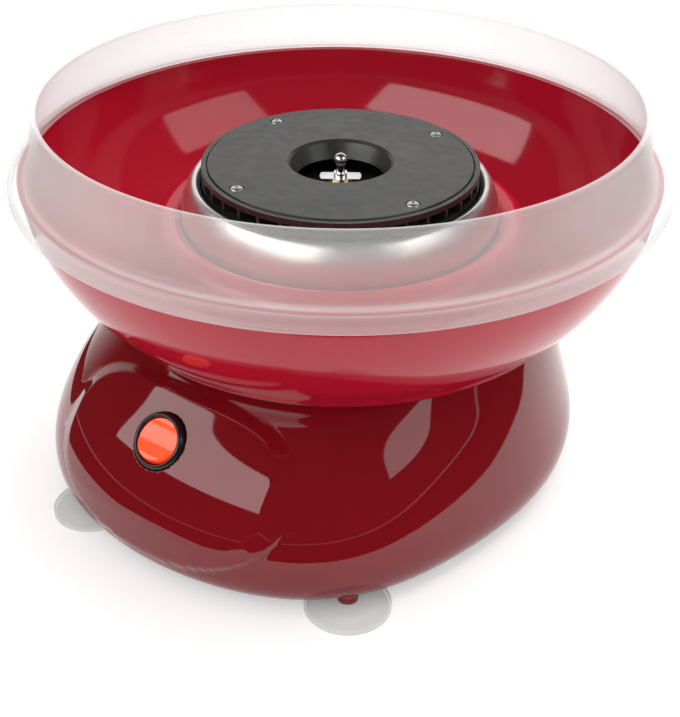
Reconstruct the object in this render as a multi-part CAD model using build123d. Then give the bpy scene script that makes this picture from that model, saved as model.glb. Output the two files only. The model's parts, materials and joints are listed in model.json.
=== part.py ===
from build123d import *
import math
import os

# Electric cotton candy machine for the table: a red base with motor, heater and rocker switch,
# a lift-off bowl and splash guard, and a spinning head that lifts off its driven spindle.
# Millimetres. Origin on the table under the spindle axis, +Z up, -Y is the front with the switch.

os.makedirs("parts", exist_ok=True)

# ---------------------------------------------------------------- driving sizes
GUARD_R = 145.0                 # outer radius of the guard's skirt, the widest part
GUARD_TOP_R = 131.6             # outer radius of the guard's top edge
GUARD_WALL = 1.8
GUARD_RISE = 28.5               # guard's top edge above the bowl's rim
GUARD_SKIRT = 4.8               # skirt below the bowl's rim
SHOULDER_RISE = 1.3             # guard's shelf above the bowl's rim, to the middle of its wall
SKIRT_PLAY = 2.4                # gap between the guard's skirt and the bowl's rim

BOWL_WALL = 2.4
BOWL_FOOT_R = 105.2             # where the bowl's outside meets its floor
BOWL_DEPTH = 64.5               # bowl's rim above the base deck
HUMP_R = 73.6                   # radius of the hole in the middle of the bowl
HUMP_RISE = 37.5                # top of the inner ridge above the deck

BASE_BOTTOM = 5.0               # base's lower edge above the table
DECK_Z = 81.5                   # flat top of the base
DECK_R = 100.0
NOSE_R = 142.5                  # widest radius of the base, in front
BACK_R = 113.3                  # widest radius of the base, behind
WAIST_Z = 21.0                  # height of the widest level
NOSE_ANGLE = 54.5               # half of the angle that the nose takes up, degrees
NOSE_SHARPNESS = 5.0
BASE_WALL = 2.6
DECK_HOLE_R = 30.0

POD_HALF_W = 45.0               # raised oval panel at its crest: half width, half height up the slope
POD_HALF_H = 24.5
POD_CENTRE_Z = 56.0
POD_RAISE = 3.0
POD_BEVEL = 38.0                # slope of its edge, degrees from the panel's normal
POD_ROUNDNESS = 2.4             # exponent of its outline
POD_SETBACK = 14.5              # its crest, behind the widest radius
POD_SINK = 14.0                 # how far its block reaches in and out from the crest
POD_CROWN = 10.0
PANEL_TILT = 38.0               # the panel's normal above the horizon, degrees

SWITCH_Z = 62.5
SWITCH_RHO = 126.0
BEZEL_R = 14.0
BEZEL_H = 2.6
SWITCH_SEAT = 1.0               # depth of the spot face for the bezel
BARREL_R = 12.2
BARREL_L = 19.0
ROCKER_R = 9.6                  # radius of the ball that the rocker's side is part of
ROCKER_PLAY = 0.35
ROCKER_PIVOT = -0.5             # its axis and its crown, from the seat of the bezel
ROCKER_CROWN = 2.8
ROCKER_SKIRT = 4.0
ROCKER_DEPTH = 12.0             # depth of the bezel's bore
ROCKER_DISH_R = 22.0
ROCKER_DISH = 1.2
TRUNNION_R = 1.2
TRUNNION_L = 1.5
BLADE_L = 8.0
BLADE_W = 4.8
BLADE_T = 0.8
BLADE_PITCH = 6.0
ROCKER_TILT = 12.0              # half of the rocker's travel, degrees

FOOT_R = 18.5                   # suction cup
FOOT_H = 3.6
FOOT_STEM_R = 2.5
FOOT_STEM_L = 6.2
FOOT_PAD_R = 4.6
FOOT_BOSS_H = 8.0
FRONT_FOOT_RADIUS = 131.0
FRONT_FOOT_ANGLES = (-22.6, 38.0)   # from the front, as the photograph shows them
REAR_FOOT_RADIUS = 103.0
REAR_FOOT_ANGLES = (-132.0, 148.6)

SHAFT_R = 3.0
BALL_Z = 143.6                  # middle of the spindle's ball tip
NECK_R = 2.0
NECK_L = 6.0
SHAFT_TAIL = 2.0                # spindle below the motor's end cap
RUN_FIT = 0.05                  # radial clearance of a shaft in its bore
SLIP = 0.2                      # clearance of a loose fit
MOTOR_R = 22.0
MOTOR_L = 40.0
MOTOR_TOP = 70.0
CAN_WALL = 1.5
NOSE_BOSS_R = 8.0               # boss round the upper bearing
NOSE_BOSS_H = 3.5
BEARING_R = 5.5
MOTOR_BOLT_R = 14.0
CAP_T = 3.0
CAP_SPIGOT = 0.8
CAP_BOSS_H = 3.0
CAP_BOSS_WALL = 3.0
BRUSH_W = 4.0
BRUSH_Z = 34.5
BRUSH_PLAY = 0.1
BRUSH_L = 9.0
HOLDER_W = 8.0
HOLDER_L = 6.0
COMM_R = 6.0
COMM_H = 7.0
COMM_CUT_W = 0.5
COMM_CUT_DEEP = 0.8
POLES = 5
CORE_LOW = 41.0
CORE_SLOT_W = 1.6
SLOT_DEEP = 5.0
SLOT_R = 3.1
WINDING_H = 3.0
WINDING_MARGIN = 1.5            # end turns, in from the core's edge
WINDING_ROUND = 1.2
WINDING_PLAY = 0.1
MAGNET_T = 3.0
MAGNET_GAP = 14.0
MAGNET_OVERHANG = 2.0
AIR_GAP = 0.7
CORE_L = 22.0
BRACKET_T = 2.0
BRACKET_R = 56.0
BRACKET_BOLT_R = 48.0
BRACKET_BITE_R = 24.0           # round bites that leave the bracket three arms
BRACKET_RUBBER = 3.0            # rubber between the bracket and the hangers
GROMMET_LIP = 1.5
GROMMET_NECK_R = 3.6
HANGER_R = 6.0
HANGER_SCREW_L = 5.0

RING_TOP_Z = 136.0              # crown of the spun metal ring round the head
RING_TOP_R = 65.2               # radius of its crown
RING_FOOT_R = 78.8
RING_FLANGE_R = 86.2
RING_T = 0.8
RING_SCREW_RADIUS = 82.8
# Middle of the ring's wall from its inner edge to its waist, from the crown: out and up.
RING_CROWN = [
    (-2.1, -2.5), (-1.5, -1.3), (0.0, -0.4), (2.1, -2.1), (3.7, -4.8), (5.3, -8.6), (6.1, -12.5), (6.2, -18.5),
]
# From the deck to the waist: radius inside the foot's, and height above the flange's middle.
RING_FLARE = [(6.4, 27.1), (4.2, 15.1), (1.6, 5.6), (0.0, 0.0)]

HEAD_R = 62.0
HEAD_TOP = 143.3
COVER_R = 59.4
COVER_T = 2.2
COVER_ROUND = 0.5
SUGAR_R = 23.8
FUNNEL_DEPTH = 8.0
FUNNEL_R = 19.5
FUNNEL_WALL = 1.6
FUNNEL_LIP = 1.2                # rounding-in of the funnel's mouth
HEAD_H = 21.3                   # cover's top to the pan's top
PAN_T = 1.5
PAN_R = 60.0
FIN_COUNT = 36
FIN_FIRST = 2.4                 # angle of the first fin, as the head stands in the photograph
FIN_T = 1.4
FIN_IN = 54.5                   # inner edge of the shelf that the fins stand on
FIN_INSET = 0.3                 # fins, in from the shelf's edges
FIN_BITE = 0.4                  # how far the fins run into the shelf and the ledge
FLOOR_H = 3.3                   # floor ring on the pan
BAND_WALL = 1.8                 # closed band under the sugar windows
SHELF_TOP = 135.0
SHELF_T = 1.5
RIM_H = 2.6
RIM_DROP = 0.5                  # rim's top below the cover's
LEDGE_W = 3.5                   # ledge under the cover's edge
GROOVE = 0.5                    # gap between the cover and the rim round it
HEAD_SCREW_R = 53.5
HEAD_SCREW_ANGLE = 70.5         # as the head stands in the photograph
HEAD_SCREW_SINK = 1.2
HEAD_POST_R = 3.4
BASKET_IN = 48.0
HUB_R = 7.0
HUB_TOP = 134.5
HUB_FLANGE = 4.0
HUB_FLANGE_T = 1.5
HUB_TAIL = 1.5                  # hub below the pan
CLIP_R = 9.3
CLIP_T = 1.2
CLIP_WAIST = 3.6
CLIP_CORE_R = 5.0
CLIP_ANGLE = 36.0
PIN_R = 1.25
PIN_Z = 125.5
PIN_HALF_L = 6.5

HEATER_R = 45.0
HEATER_ROD_R = 3.2
HEATER_Z = 112.0
CARRIER_Z = 101.0
CARRIER_T = 3.0
CARRIER_IN = 16.0
CARRIER_OUT = 60.0
HEATER_END_ANGLE = 12.0
HEATER_STUB = 6.0
THERMO_R = 8.0
THERMO_H = 5.0
THERMO_RADIUS = 38.0
THERMO_ANGLE = 90.0
THERMO_TAB = (20.0, 5.0, 1.0)
CRADLE_L = 12.0
CRADLE_W = 8.0
POST_R = 4.0
POST_RADIUS = 50.0

GLAND_Z = 28.0
GLAND_BORE_R = 3.6
GLAND_BARREL_R = 5.5
GLAND_FLANGE_R = 8.5
GLAND_FLANGE_T = 2.2
GLAND_NUT_T = 3.5
GLAND_SEAT = 1.5                # flat seat proud of the back wall
GLAND_SEAT_L = 12.0
GLAND_MARGIN = 0.6
GLAND_NUT_R = 8.7

PLATE_T = 2.5
PLATE_GAP = 0.3
PLATE_LIFT = 0.6                # plate's underside above the base's lower edge
SCREW_R = 1.6
SCREW_HEAD_R = 3.0
SCREW_HEAD_H = 1.8
SCREW_ROUND = 0.8
RECESS_L = 3.4
RECESS_W = 0.7
RECESS_DEPTH = 0.8
POST_INSET = 12.0               # plate's screw posts, in from the widest radius
POST_WEB = 2.5                  # web that joins a post to the wall
PLATE_POST_ANGLES = (-60.0, 60.0, -112.0, 112.0)
PLATE_POST_R = 4.5
PLATE_POST_H = 22.0
PLATE_SCREW_L = 12.0
VENT_ROWS = 4
VENT_STEP = 8.0
VENT_L = 60.0
VENT_W = 3.2
VENT_TAPER = 4.0

BOARD_X = -64.0
BOARD_Y = 36.0
BOARD_Z = 16.0
BOARD_W = 46.0
BOARD_D = 34.0
BOARD_T = 1.6
BOARD_EDGE = 4.0
STANDOFF_R = 3.4
DIODE_R = 2.6
DIODE_L = 9.0
DIODE_PITCH = 8.0
DIODE_SPOT = (-10.0, -12.0)     # first diode, capacitor and terminal block, from the board's middle
CAP_SPOT = (4.0, 8.0)
BLOCK_SPOT = (4.0, -8.0)
BLOCK_W = 8.0
BLOCK_L = 16.0
BLOCK_H = 10.0
BLOCK_WAY = 4.0                 # its two ways, each side of its middle
BLOCK_WAY_Z = 3.0
BLOCK_SCREW_Z = 5.0
CAP_R = 5.0
CAP_H = 14.0
CAP_ROUND = 0.8

LEAD_R = 1.2

RIM_Z = DECK_Z + BOWL_DEPTH
GUARD_TOP = RIM_Z + GUARD_RISE
MOTOR_BOTTOM = MOTOR_TOP - MOTOR_L
PAN_TOP = HEAD_TOP - HEAD_H
MAGNET_R = MOTOR_R - CAN_WALL
CORE_R = MAGNET_R - MAGNET_T - AIR_GAP
PLATE_TOP = BASE_BOTTOM + PLATE_LIFT + PLATE_T
HANGER_Z = MOTOR_TOP + BRACKET_T + BRACKET_RUBBER
BRUSH_IN = COMM_R + BRUSH_PLAY
BRUSH_OUT = BRUSH_IN + BRUSH_L
board_top = BOARD_Z + BOARD_T
BOWL_RIM_R = GUARD_R - GUARD_WALL - SKIRT_PLAY - BOWL_WALL / 2
# The bowl's section: steps out from the hole and up from the deck, then out from the floor's edge.
BOWL_RIDGE = [(0, -2.2), (3.4, -0.4), (7.9, -1.8), (13.4, -10.0), (17.9, -21.0), (21.9, -30.5)]
BOWL_SIDE = [(-6.2, 1.8), (-2.7, 1.6), (0.6, 2.9), (4.4, 7.2), (13.4, 16.9), (23.9, 31.6), (30.8, 47.2)]
board_corners = []
for side_x in (-1, 1):
    for side_y in (-1, 1):
        corner_x = BOARD_X + side_x * (BOARD_W / 2 - BOARD_EDGE)
        board_corners.append((corner_x, BOARD_Y + side_y * (BOARD_D / 2 - BOARD_EDGE)))


# ---------------------------------------------------------------- helpers
def turned(*points):
    """Solid of revolution from an outline of (radius, height) points."""
    outline = Polyline(*[(r, 0, z) for r, z in points], close=True)
    return revolve(make_face(outline), Axis.Z)


def tube(outer, inner, low, high):
    return turned((inner, low), (outer, low), (outer, high), (inner, high))


def rod(radius, low, high):
    return Pos(0, 0, low) * Cylinder(radius, high - low, align=(Align.CENTER, Align.CENTER, Align.MIN))


def spun_sheet(wall, middle):
    """Sheet of constant wall, turned from a smooth line through (radius, height) points."""
    line = Spline(*[(r, 0, z) for r, z in middle])
    samples = 6 * len(middle)
    sides = ([], [])
    for i in range(samples + 1):
        here = line @ (i / samples)
        way = line % (i / samples)
        across = Vector(way.Z, 0, -way.X) * (wall / 2)
        sides[0].append(here + across)
        sides[1].append(here - across)
    outer = Spline(*sides[0])
    inner = Spline(*sides[1])
    edges = [outer, Line(outer @ 1, inner @ 1), inner, Line(inner @ 0, outer @ 0)]
    return revolve(make_face(edges), Axis.Z)


def polar(radius, angle, height=0.0):
    """Place at an angle from the front, positive towards +X."""
    turn = math.radians(angle)
    return (radius * math.sin(turn), -radius * math.cos(turn), height)


def around(count, first=0.0):
    return [first + 360.0 * i / count for i in range(count)]


def group(solids):
    return Compound(children=list(solids))


def screw(place, shank, down=True):
    """Pan-head screw with a cross recess, its head's seat at the place."""
    head = rod(SCREW_HEAD_R, 0, SCREW_HEAD_H)
    head = fillet(head.edges().group_by(Axis.Z)[-1], SCREW_ROUND)
    cross = Box(RECESS_L, RECESS_W, 2 * RECESS_DEPTH) + Box(RECESS_W, RECESS_L, 2 * RECESS_DEPTH)
    recess = Pos(0, 0, SCREW_HEAD_H) * cross
    body = head + rod(SCREW_R, -shank, 0) - recess
    if not down:
        body = Rot(180, 0, 0) * body
    return Pos(*place) * body


PARTS = {}


def keep(name, shape):
    PARTS[name] = shape


# ---------------------------------------------------------------- base housing
# Height, front radius and back radius at each level of the base, from the bottom up.
BASE_LEVELS = [
    (BASE_BOTTOM, NOSE_R - 6.0, BACK_R - 5.0),
    (BASE_BOTTOM + 5.5, NOSE_R - 1.7, BACK_R - 1.5),
    (WAIST_Z, NOSE_R, BACK_R),
    (WAIST_Z + 13.0, NOSE_R - 2.3, BACK_R - 2.6),
    (WAIST_Z + 26.0, NOSE_R - 8.0, BACK_R - 6.2),
    (WAIST_Z + 38.0, NOSE_R - 16.6, BACK_R - 9.2),
    (WAIST_Z + 50.0, NOSE_R - 30.0, BACK_R - 11.6),
    (DECK_Z, DECK_R, DECK_R),
]


def base_radius(angle, front, back):
    """Egg-shaped plan: the front radius over the nose, the back radius elsewhere."""
    share = 1.0 / (1.0 + (abs(angle) / NOSE_ANGLE) ** NOSE_SHARPNESS)
    return back + (front - back) * share


def base_section(z, front, back, inset=0.0):
    points = []
    for angle in range(-180, 180, 12):
        points.append(polar(base_radius(angle, front, back) - inset, angle, z))
    return make_face(Spline(*points, periodic=True))


def base_body(inset=0.0, top=DECK_Z):
    sections = []
    for z, front, back in BASE_LEVELS:
        level = min(z, top)
        sections.append(base_section(level, front, back, inset))
    return loft(sections)


panel_way = Vector(0, -math.cos(math.radians(PANEL_TILT)), math.sin(math.radians(PANEL_TILT)))


def panel(rho, z):
    """Plane across the panel's normal, its x to the right and its y up the slope."""
    return Plane(origin=(0, -rho, z), x_dir=(1, 0, 0), z_dir=tuple(panel_way))


def pod_outline(half_w, half_h):
    points = []
    for step in range(32):
        turn = 2 * math.pi * step / 32
        c, s = math.cos(turn), math.sin(turn)
        x = half_w * math.copysign(abs(c) ** (2 / POD_ROUNDNESS), c)
        y = half_h * math.copysign(abs(s) ** (2 / POD_ROUNDNESS), s)
        points.append((x, y))
    return make_face(Spline(*points, periodic=True))


switch_plane = panel(SWITCH_RHO, SWITCH_Z)
seat_plane = switch_plane.offset(-SWITCH_SEAT)
pod_plane = panel(NOSE_R - POD_SETBACK, POD_CENTRE_Z)


def pod_block():
    """Flat cone on the pod's outline: its side is the pod's bevelled edge."""
    slope = math.tan(math.radians(POD_BEVEL))
    faces = []
    for depth in (-POD_SINK, POD_CROWN):
        spread = -depth * slope
        outline = pod_outline(POD_HALF_W + spread, POD_HALF_H + spread)
        faces.append(pod_plane.offset(depth) * outline)
    return loft(faces, ruled=True)


foot_places = [(FRONT_FOOT_RADIUS, angle) for angle in FRONT_FOOT_ANGLES]
foot_places += [(REAR_FOOT_RADIUS, angle) for angle in REAR_FOOT_ANGLES]
post_places = [(base_radius(a, NOSE_R, BACK_R) - POST_INSET, a) for a in PLATE_POST_ANGLES]
hanger_angles = around(3, 60.0)
ring_screw_angles = around(3, 30.0)
heater_ends = (-HEATER_END_ANGLE, HEATER_END_ANGLE)


def base_housing():
    outside = base_body()
    shell = outside + (base_body(-POD_RAISE) & pod_block())
    shell -= base_body(BASE_WALL, DECK_Z - BASE_WALL)
    inner = base_body(BASE_WALL / 2, DECK_Z - BASE_WALL / 2)
    pillars = []
    for radius, angle in post_places:
        pillars.append(Pos(*polar(radius, angle)) * rod(PLATE_POST_R, PLATE_TOP, PLATE_TOP + PLATE_POST_H))
        web = Box(POST_WEB, 2 * POST_INSET, PLATE_POST_H, align=(Align.CENTER, Align.MAX, Align.MIN))
        pillars.append(Rot(0, 0, angle) * Pos(0, -radius, PLATE_TOP) * web)
    for angle in hanger_angles:
        hanger = rod(HANGER_R, HANGER_Z, DECK_Z - BASE_WALL / 2)
        pillars.append(Pos(*polar(BRACKET_BOLT_R, angle)) * hanger)
    shell += [pillar & inner for pillar in pillars]
    foot_top = BASE_BOTTOM + FOOT_BOSS_H
    shell += [Pos(*polar(r, a)) * rod(FOOT_PAD_R, FOOT_H, foot_top) for r, a in foot_places]
    seat_y = BACK_R + GLAND_SEAT
    gland_seat = Pos(0, seat_y, GLAND_Z) * Rot(90, 0, 0) * rod(GLAND_FLANGE_R + GLAND_MARGIN, 0, GLAND_SEAT_L)
    shell += gland_seat

    holes = [rod(DECK_HOLE_R, DECK_Z - 2 * BASE_WALL, DECK_Z + 1)]
    for radius, angle in foot_places:
        holes.append(Pos(*polar(radius, angle)) * rod(FOOT_STEM_R, FOOT_H - 1, FOOT_H + FOOT_STEM_L))
    for radius, angle in post_places:
        holes.append(Pos(*polar(radius, angle)) * rod(SCREW_R, PLATE_TOP - 1, PLATE_TOP + PLATE_SCREW_L))
    for angle in hanger_angles:
        hole = rod(SCREW_R, HANGER_Z - 1, HANGER_Z + HANGER_SCREW_L)
        holes.append(Pos(*polar(BRACKET_BOLT_R, angle)) * hole)
    for angle in ring_screw_angles:
        hole = rod(SCREW_R, DECK_Z - 2 * BASE_WALL, DECK_Z + 1)
        holes.append(Pos(*polar(RING_SCREW_RADIUS, angle)) * hole)
    for angle in around(3):
        hole = rod(SCREW_R, DECK_Z - 2 * BASE_WALL, DECK_Z + 1)
        holes.append(Pos(*polar(POST_RADIUS, angle)) * hole)
    through = GLAND_SEAT_L + 2 * BASE_WALL
    holes.append(Pos(0, seat_y + 1, GLAND_Z) * Rot(90, 0, 0) * rod(GLAND_BARREL_R, 0, through))
    holes.append(seat_plane * rod(BEZEL_R + SLIP, 0, POD_SINK))
    holes.append(seat_plane * rod(BARREL_R, -BARREL_L, SWITCH_SEAT))
    return shell - holes


# ---------------------------------------------------------------- base plate, screws and feet
def base_plate():
    z, front, back = BASE_LEVELS[0]
    low = z + PLATE_LIFT
    flat = base_section(low, front, back, BASE_WALL + PLATE_GAP)
    plate = extrude(flat, PLATE_T, dir=(0, 0, 1))
    cuts = []
    for radius, angle in foot_places:
        cuts.append(Pos(*polar(radius, angle)) * rod(FOOT_PAD_R + PLATE_GAP, 0, PLATE_TOP + 1))
    for radius, angle in post_places:
        place = Pos(*polar(radius, angle))
        cuts.append(place * rod(SCREW_R + SLIP, 0, PLATE_TOP + 1))
    for row in range(-VENT_ROWS, VENT_ROWS + 1):
        slot = SlotOverall(VENT_L - VENT_TAPER * abs(row), VENT_W)
        cuts.append(Pos(0, row * VENT_STEP, 0) * extrude(slot, PLATE_TOP + 1))
    for x, y in board_corners:
        plate += Pos(x, y, 0) * rod(STANDOFF_R, PLATE_TOP - 0.5, BOARD_Z)
        cuts.append(Pos(x, y, 0) * rod(SCREW_R, PLATE_TOP, BOARD_Z + 1))
    return plate - cuts


def suction_foot():
    """Clear cup: a thin dome with a rounded lip, and a stem that presses into the base."""
    lip = 1.2
    outline = [
        (0, 1.9), (FOOT_R * 0.5, 1.5), (FOOT_R - 2.2, 0.6), (FOOT_R - 1.4, 0), (FOOT_R, 0),
        (FOOT_R, lip), (FOOT_R * 0.62, 2.7), (FOOT_STEM_R + 1.8, FOOT_H), (FOOT_STEM_R, FOOT_H),
        (FOOT_STEM_R, FOOT_H + FOOT_STEM_L), (0, FOOT_H + FOOT_STEM_L),
    ]
    return turned(*outline)


# ---------------------------------------------------------------- switch
def switch_bezel():
    """Round body of the rocker switch: a domed ring outside, a barrel through the panel."""
    ring = rod(BEZEL_R, 0, BEZEL_H)
    ring = fillet(ring.edges().group_by(Axis.Z)[-1], BEZEL_H * 0.7)
    body = ring + rod(BARREL_R - SLIP / 2, -BARREL_L, 0)
    body -= rod(ROCKER_R + ROCKER_PLAY, -ROCKER_DEPTH, BEZEL_H + 1)
    for side in (-1, 1):
        trunnion = Pos(side * (ROCKER_R + ROCKER_PLAY), 0, ROCKER_PIVOT) * Rot(0, 90, 0)
        body -= trunnion * Cylinder(TRUNNION_R + RUN_FIT, 2 * TRUNNION_L)
    return seat_plane * body


def switch_rocker():
    """Lens that tilts about its trunnions; its side is part of a sphere round them."""
    ball = Pos(0, 0, ROCKER_PIVOT) * Sphere(ROCKER_R)
    height = ROCKER_CROWN - ROCKER_PIVOT
    slab = Box(4 * ROCKER_R, 4 * ROCKER_R, height + ROCKER_SKIRT)
    lens = ball & Pos(0, 0, (ROCKER_CROWN + ROCKER_PIVOT - ROCKER_SKIRT) / 2) * slab
    dish_z = ROCKER_CROWN + ROCKER_DISH_R - ROCKER_DISH
    dish = Pos(0, 0, dish_z) * Rot(0, 90, 0) * Cylinder(ROCKER_DISH_R, 4 * ROCKER_R)
    lens -= dish
    lens += Pos(0, 0, ROCKER_PIVOT) * Rot(0, 90, 0) * Cylinder(TRUNNION_R, 2 * (ROCKER_R + TRUNNION_L))
    tilt = Plane(origin=(0, 0, ROCKER_PIVOT), x_dir=(1, 0, 0), z_dir=(0, 0, 1))
    turn = tilt.location * Rot(-ROCKER_TILT, 0, 0) * tilt.location.inverse()
    return seat_plane * (turn * lens)


def switch_terminals():
    blades = []
    for x in (-BLADE_PITCH, 0.0, BLADE_PITCH):
        blades.append(seat_plane * Pos(x, 0, -BARREL_L - BLADE_L / 2) * Box(BLADE_T, BLADE_W, BLADE_L))
    return group(blades)


# ---------------------------------------------------------------- motor
def motor_can():
    can = rod(MOTOR_R, MOTOR_BOTTOM, MOTOR_TOP) - rod(MAGNET_R, MOTOR_BOTTOM - 1, MOTOR_TOP - CAN_WALL)
    can = can + rod(NOSE_BOSS_R, MOTOR_TOP - CAN_WALL, MOTOR_TOP + NOSE_BOSS_H)
    can -= rod(BEARING_R, MOTOR_TOP - CAN_WALL - 1, MOTOR_TOP + NOSE_BOSS_H + 1)
    for x in (-MOTOR_BOLT_R, MOTOR_BOLT_R):
        can -= Pos(x, 0, 0) * rod(SCREW_R, MOTOR_TOP - 2 * CAN_WALL, MOTOR_TOP + 1)
    return can


def bearing(low, high):
    return tube(BEARING_R, SHAFT_R + RUN_FIT, low, high)


def motor_magnets():
    low = CORE_LOW - MAGNET_OVERHANG
    ring = tube(MAGNET_R, MAGNET_R - MAGNET_T, low, low + CORE_L + 2 * MAGNET_OVERHANG)
    gap = Box(2 * MOTOR_R, MAGNET_GAP, 2 * MOTOR_TOP)
    return group((ring - gap).solids())


def motor_end_cap():
    """Plastic cap under the can, with the lower bearing's seat and two brush boxes."""
    cap = rod(MOTOR_R, MOTOR_BOTTOM - CAP_T, MOTOR_BOTTOM)
    cap += rod(MAGNET_R, MOTOR_BOTTOM, MOTOR_BOTTOM + CAP_SPIGOT)
    cap += rod(BEARING_R + CAP_BOSS_WALL, MOTOR_BOTTOM - CAP_T - CAP_BOSS_H, MOTOR_BOTTOM)
    cap -= rod(BEARING_R, MOTOR_BOTTOM - CAP_T - 2 * CAP_BOSS_H, MOTOR_BOTTOM + CAP_BOSS_H)
    for side in (-1, 1):
        holder = Box(HOLDER_L, HOLDER_W, HOLDER_W, align=(Align.CENTER, Align.CENTER, Align.MIN))
        cap += Pos(side * (BRUSH_OUT - HOLDER_L / 2), 0, MOTOR_BOTTOM) * holder
        slot = Box(2 * BRUSH_OUT, BRUSH_W, BRUSH_W)
        cap -= Pos(side * (BRUSH_IN + BRUSH_OUT), 0, BRUSH_Z) * slot
    return cap


def motor_brushes():
    brushes = []
    for side in (-1, 1):
        brush = Box(BRUSH_OUT - BRUSH_IN, BRUSH_W, BRUSH_W)
        brushes.append(Pos(side * (BRUSH_IN + BRUSH_OUT) / 2, 0, BRUSH_Z) * brush)
    return group(brushes)


def motor_bracket():
    """Plate that carries the motor from the deck's hangers, on rubber grommets."""
    plate = rod(BRACKET_R, MOTOR_TOP, MOTOR_TOP + BRACKET_T)
    for angle in around(3):
        bite = rod(BRACKET_BITE_R, MOTOR_TOP - 1, MOTOR_TOP + BRACKET_T + 1)
        plate -= Pos(*polar(BRACKET_R + 3, angle)) * bite
    plate -= rod(NOSE_BOSS_R + SLIP, MOTOR_TOP - 1, MOTOR_TOP + BRACKET_T + 1)
    for x in (-MOTOR_BOLT_R, MOTOR_BOLT_R):
        plate -= Pos(x, 0, 0) * rod(SCREW_R + SLIP, MOTOR_TOP - 1, MOTOR_TOP + BRACKET_T + 1)
    for angle in hanger_angles:
        plate -= Pos(*polar(BRACKET_BOLT_R, angle)) * rod(GROMMET_NECK_R, 0, DECK_Z)
    return plate


def bracket_grommets():
    high = HANGER_Z
    low = MOTOR_TOP - GROMMET_LIP
    outline = (
        (SCREW_R + SLIP, low), (HANGER_R, low), (HANGER_R, MOTOR_TOP), (GROMMET_NECK_R, MOTOR_TOP),
        (GROMMET_NECK_R, MOTOR_TOP + BRACKET_T), (HANGER_R, MOTOR_TOP + BRACKET_T), (HANGER_R, high),
        (SCREW_R + SLIP, high),
    )
    return group(Pos(*polar(BRACKET_BOLT_R, angle)) * turned(*outline) for angle in hanger_angles)


def armature_core():
    core = rod(CORE_R, CORE_LOW, CORE_LOW + CORE_L) - rod(SHAFT_R, 0, DECK_Z)
    for angle in around(POLES):
        slot = Box(CORE_SLOT_W, 2 * SLOT_DEEP, 2 * DECK_Z)
        pocket = Pos(*polar(CORE_R - SLOT_DEEP, angle)) * rod(SLOT_R, 0, DECK_Z)
        core -= Rot(0, 0, angle) * Pos(0, -CORE_R, 0) * slot
        core -= pocket
    return core


def armature_windings():
    """Copper: what lies in the slots, with the end turns over and under the core."""
    ends = [(CORE_LOW - WINDING_H, CORE_LOW), (CORE_LOW + CORE_L, CORE_LOW + CORE_L + WINDING_H)]
    copper = None
    for low, high in ends:
        ring = tube(CORE_R - WINDING_MARGIN, SHAFT_R + WINDING_MARGIN, low, high)
        ring = fillet(ring.edges().filter_by(GeomType.CIRCLE).group_by(SortBy.RADIUS)[-1], WINDING_ROUND)
        copper = ring if copper is None else copper + ring
    for angle in around(POLES):
        pocket = rod(SLOT_R - WINDING_PLAY, CORE_LOW - 1, CORE_LOW + CORE_L + 1)
        copper += Pos(*polar(CORE_R - SLOT_DEEP, angle)) * pocket
    return copper


def commutator():
    drum = tube(COMM_R, SHAFT_R, BRUSH_Z - COMM_H / 2, BRUSH_Z + COMM_H / 2)
    for angle in around(POLES, 36.0):
        drum -= Rot(0, 0, angle) * Pos(0, -COMM_R, 0) * Box(COMM_CUT_W, 2 * COMM_CUT_DEEP, 4 * MOTOR_TOP)
    return drum


def motor_shaft():
    """Spindle from the lower bearing up to the ball tip, with a cross hole for the drive pin."""
    neck = BALL_Z - NECK_L
    shaft = rod(SHAFT_R, MOTOR_BOTTOM - CAP_T - SHAFT_TAIL, neck) + rod(NECK_R, neck, BALL_Z)
    shaft += Pos(0, 0, BALL_Z) * Sphere(SHAFT_R)
    return shaft - Pos(0, 0, PIN_Z) * Rot(0, 90, 0) * Cylinder(PIN_R, 4 * SHAFT_R)


def drive_pin():
    return Pos(0, 0, PIN_Z) * Rot(0, 90, 0) * Cylinder(PIN_R, 2 * PIN_HALF_L)


# ---------------------------------------------------------------- heater and metal ring
def reflector_ring():
    """Spun ring round the head: a rounded crown, a waist inside the bowl's hole and a flange on the deck."""
    foot = DECK_Z + RING_T / 2
    middle = [(RING_TOP_R + out, RING_TOP_Z + up) for out, up in RING_CROWN]
    middle += [(RING_FOOT_R - inside, foot + up) for inside, up in RING_FLARE]
    sheet = spun_sheet(RING_T, middle)
    flange = tube(RING_FLANGE_R, RING_FOOT_R - RING_T / 2, DECK_Z, DECK_Z + RING_T)
    ring = sheet + flange
    for angle in ring_screw_angles:
        ring -= Pos(*polar(RING_SCREW_RADIUS, angle)) * rod(SCREW_R + SLIP, DECK_Z - 1, DECK_Z + RING_T + 1)
    return ring


def heater_posts():
    post = tube(POST_R, SCREW_R + SLIP, DECK_Z, CARRIER_Z)
    return group(Pos(*polar(POST_RADIUS, angle)) * post for angle in around(3))


def heater_carrier():
    """Ceramic disc under the head that holds the heating rod."""
    plate = tube(CARRIER_OUT, CARRIER_IN, CARRIER_Z, CARRIER_Z + CARRIER_T)
    for angle in around(3):
        plate -= Pos(*polar(POST_RADIUS, angle)) * rod(SCREW_R, CARRIER_Z - 1, CARRIER_Z + CARRIER_T + 1)
    for angle in heater_ends:
        plate -= Pos(*polar(HEATER_R, angle)) * rod(HEATER_ROD_R, CARRIER_Z - 1, CARRIER_Z + CARRIER_T + 1)
    return plate


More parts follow.
